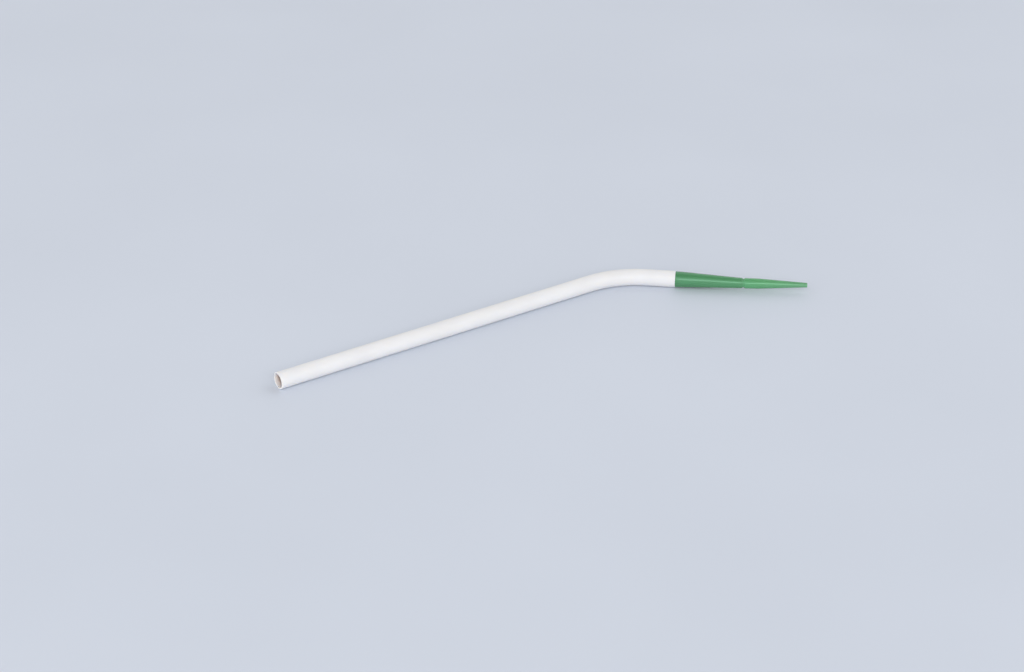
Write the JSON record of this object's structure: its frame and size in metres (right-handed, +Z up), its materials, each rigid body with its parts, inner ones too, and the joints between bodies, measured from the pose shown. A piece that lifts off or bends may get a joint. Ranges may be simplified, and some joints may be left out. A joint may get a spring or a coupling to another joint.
{
  "type": "endodontic aspirator tip",
  "caption": "Bent white suction tube with an open hose end and a slender, stepped green cannula plugged into its mouth, for drawing fluid out of a root canal.",
  "frame": {"origin": "on the surface that the part lies on, under the middle of its bounding box", "axes": "+X along the straight tube from its open hose end towards the bend, the bend turns towards -Y, +Z up out of the surface"},
  "size_m": [0.2096, 0.051, 0.0065],
  "materials": {
    "white_tube": "satin extruded white plastic",
    "green_cannula": "glossy moulded green plastic, slightly translucent"
  },
  "bodies": {
    "root": {"aspirator_tube": "white_tube", "cannula_tip": "green_cannula"}
  },
  "joints": []
}
